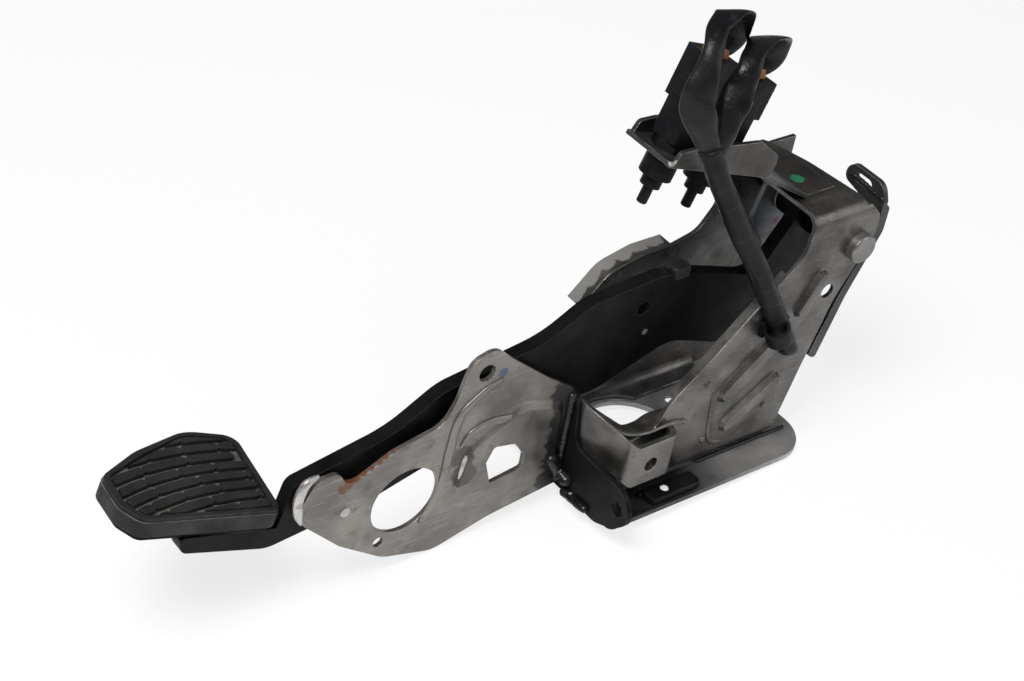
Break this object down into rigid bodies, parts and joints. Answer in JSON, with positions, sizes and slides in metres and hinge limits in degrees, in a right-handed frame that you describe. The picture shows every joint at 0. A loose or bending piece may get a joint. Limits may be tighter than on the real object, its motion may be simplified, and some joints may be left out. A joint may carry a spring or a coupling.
{
  "type": "brake pedal",
  "caption": "Hanging car brake pedal in a pressed-steel bracket: a flat arm with a ribbed rubber pad turns on a bolt and releases sprung plungers of wired pedal switches.",
  "frame": {"origin": "centre of the booster hole on the firewall face, which is the underside of the base plate", "axes": "+Z is normal to the base plate and points away from the firewall, +X runs up the firewall so the pad is at -X, and the stay plate and the bolt head are on the -Y side"},
  "size_m": [0.4448, 0.1256, 0.28],
  "materials": {
    "bracket_steel": "worn rolled steel",
    "stay_steel": "worn rolled steel with light rust",
    "black_paint": "satin black paint",
    "bolt_steel": "plated steel",
    "bush_plastic": "plain",
    "rubber": "worn rubber",
    "black_plastic": "fine grain",
    "amber_plastic": "smooth",
    "harness_tape": "wound tape"
  },
  "bodies": {
    "bracket": {"base_plate": "bracket_steel", "front_cross_panel": "black_paint", "near_side_wall": "bracket_steel", "far_side_wall": "bracket_steel", "stay_plate": "stay_steel", "corner_strap": "bracket_steel", "corner_web": "black_paint", "base_bar": "black_paint", "guide_blade": "black_paint", "inner_plate": "bracket_steel", "pivot_bolt": "bolt_steel", "pivot_nut": "bolt_steel", "pivot_sleeve": "bolt_steel", "switch_bracket": "black_paint", "harness_trunk": "harness_tape", "harness_joint": "harness_tape", "harness_clip": "black_plastic", "switch_body_front": "black_plastic", "switch_body_rear": "black_plastic", "lock_collar_front": "black_plastic", "lock_collar_rear": "black_plastic", "connector_front": "black_plastic", "connector_rear": "black_plastic", "connector_seal_front": "amber_plastic", "connector_seal_rear": "amber_plastic", "harness_branch_front": "harness_tape", "harness_branch_rear": "harness_tape"},
    "pedal": {"hub_bush_near": "bush_plastic", "hub_bush_far": "bush_plastic", "pedal_hub": "black_paint", "pedal_arm": "black_paint", "arm_bumper": "rubber", "pad_plate": "black_paint", "pedal_pad": "rubber"},
    "plunger_front": {"plunger_front": "black_plastic"},
    "plunger_rear": {"plunger_rear": "black_plastic"}
  },
  "joints": [
    {"name": "pedal_pivot", "type": "hinge", "parent": "bracket", "child": "pedal", "pos_m": [0.102, 0, 0.124], "axis": [0, 1, 0], "range_deg": [0, 21.5]},
    {"name": "plunger_front_slide", "type": "slide", "parent": "bracket", "child": "plunger_front", "axis": [0.3338, 0, 0.9426], "range_m": [0, 0.005], "stiffness_N_per_m": 60},
    {"name": "plunger_rear_slide", "type": "slide", "parent": "bracket", "child": "plunger_rear", "axis": [0.3338, 0, 0.9426], "range_m": [0, 0.005], "stiffness_N_per_m": 60}
  ]
}
